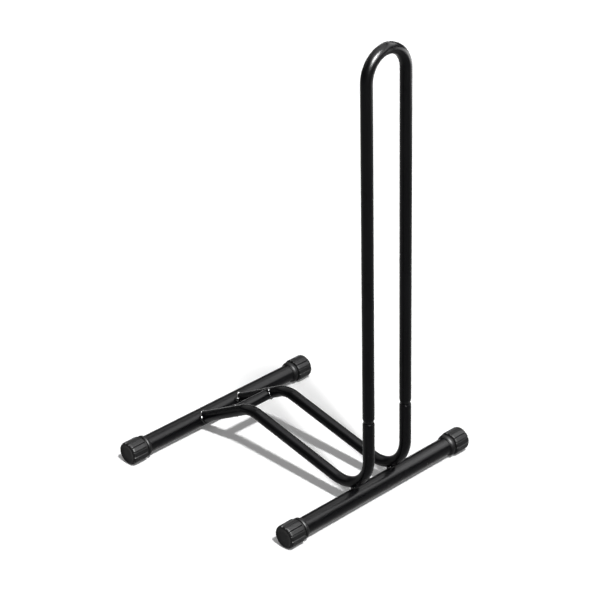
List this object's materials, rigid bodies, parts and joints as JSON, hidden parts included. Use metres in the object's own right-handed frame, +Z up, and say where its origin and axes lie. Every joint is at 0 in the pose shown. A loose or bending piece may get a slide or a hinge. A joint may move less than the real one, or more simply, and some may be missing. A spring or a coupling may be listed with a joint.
{
  "type": "floor bike rack",
  "caption": "Free-standing floor rack of black tube for a bicycle wheel: capped feet, bent side rails, and a tall lift-off hoop that steadies the wheel.",
  "frame": {"origin": "on the floor, at the middle of the rack's outline", "axes": "+Z up; the feet run along X; the hoop stands at the -Y end, and a wheel rolls in along Y"},
  "size_m": [0.393, 0.3982, 0.74],
  "materials": {
    "powder_coat": "gloss",
    "cap_plastic": "satin"
  },
  "bodies": {
    "base": {"front_foot_tube": "powder_coat", "rear_foot_tube": "powder_coat", "front_left_cap": "cap_plastic", "front_right_cap": "cap_plastic", "rear_left_cap": "cap_plastic", "rear_right_cap": "cap_plastic", "left_rail": "powder_coat", "right_rail": "powder_coat", "cross_bar": "powder_coat", "front_left_weld": "powder_coat", "front_right_weld": "powder_coat", "rear_left_weld": "powder_coat", "rear_right_weld": "powder_coat", "cross_bar_left_weld": "powder_coat", "cross_bar_right_weld": "powder_coat"},
    "hoop": {"hoop": "powder_coat"}
  },
  "joints": [
    {"name": "hoop_lift", "type": "slide", "parent": "base", "child": "hoop", "axis": [0, 0, 1], "range_m": [0, 0.05]}
  ]
}
